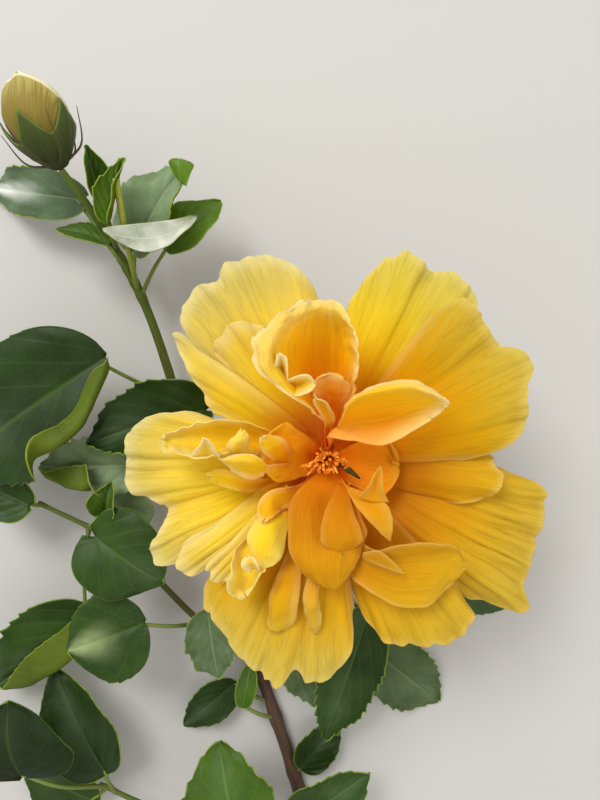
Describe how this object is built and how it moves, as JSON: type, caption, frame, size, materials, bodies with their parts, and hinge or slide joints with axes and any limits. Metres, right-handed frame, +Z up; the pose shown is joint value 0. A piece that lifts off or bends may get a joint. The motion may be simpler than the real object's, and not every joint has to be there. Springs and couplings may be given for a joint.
{
  "type": "cut hibiscus branch",
  "caption": "Cut hibiscus branch lying flat, with a large double yellow bloom facing up, a furled bud at the tip and broad toothed leaves.",
  "frame": {"origin": "centre of the footprint, on the surface the branch lies on", "axes": "+Y along the stem from the cut end towards the bud, +Z up, out of the open bloom's face"},
  "size_m": [0.2293, 0.3317, 0.0927],
  "materials": {
    "bark": "rough young bark, brown below",
    "green_stem": "smooth green shoot",
    "leaf": "waxy green leaf, paler below",
    "petal": "soft yellow petal, orange towards the heart",
    "calyx": "matt green sepals",
    "bud": "pale yellow furled petals"
  },
  "bodies": {
    "root": {"main_stem": "bark", "left_branch": "bark", "lower_left_branch": "bark", "bloom_pedicel": "green_stem", "bud_stalk": "green_stem", "leaf_bud_left": "leaf", "leaf_bud_young": "leaf", "leaf_trough": "leaf", "leaf_curly": "leaf", "leaf_saddle": "leaf", "leaf_fresh": "leaf", "leaf_big_left": "leaf", "leaf_left_edge": "leaf", "leaf_glaucous": "leaf", "leaf_behind_bloom": "leaf", "leaf_folded": "leaf", "leaf_round": "leaf", "leaf_grey": "leaf", "leaf_left_mid": "leaf", "leaf_margin": "leaf", "leaf_low_dark": "leaf", "leaf_low_round": "leaf", "leaf_low_light": "leaf", "leaf_crinkled": "leaf", "leaf_under_bottom": "leaf", "leaf_pointing": "leaf", "leaf_right_low": "leaf", "leaf_bottom_left": "leaf", "leaf_bottom_right": "leaf", "leaf_olive": "leaf", "leaf_dark_right": "leaf", "leaf_dark_left": "leaf", "leaf_right": "leaf", "bloom": "petal", "bloom_calyx": "calyx", "bud_calyx": "calyx", "bud_petals": "bud"}
  },
  "joints": []
}
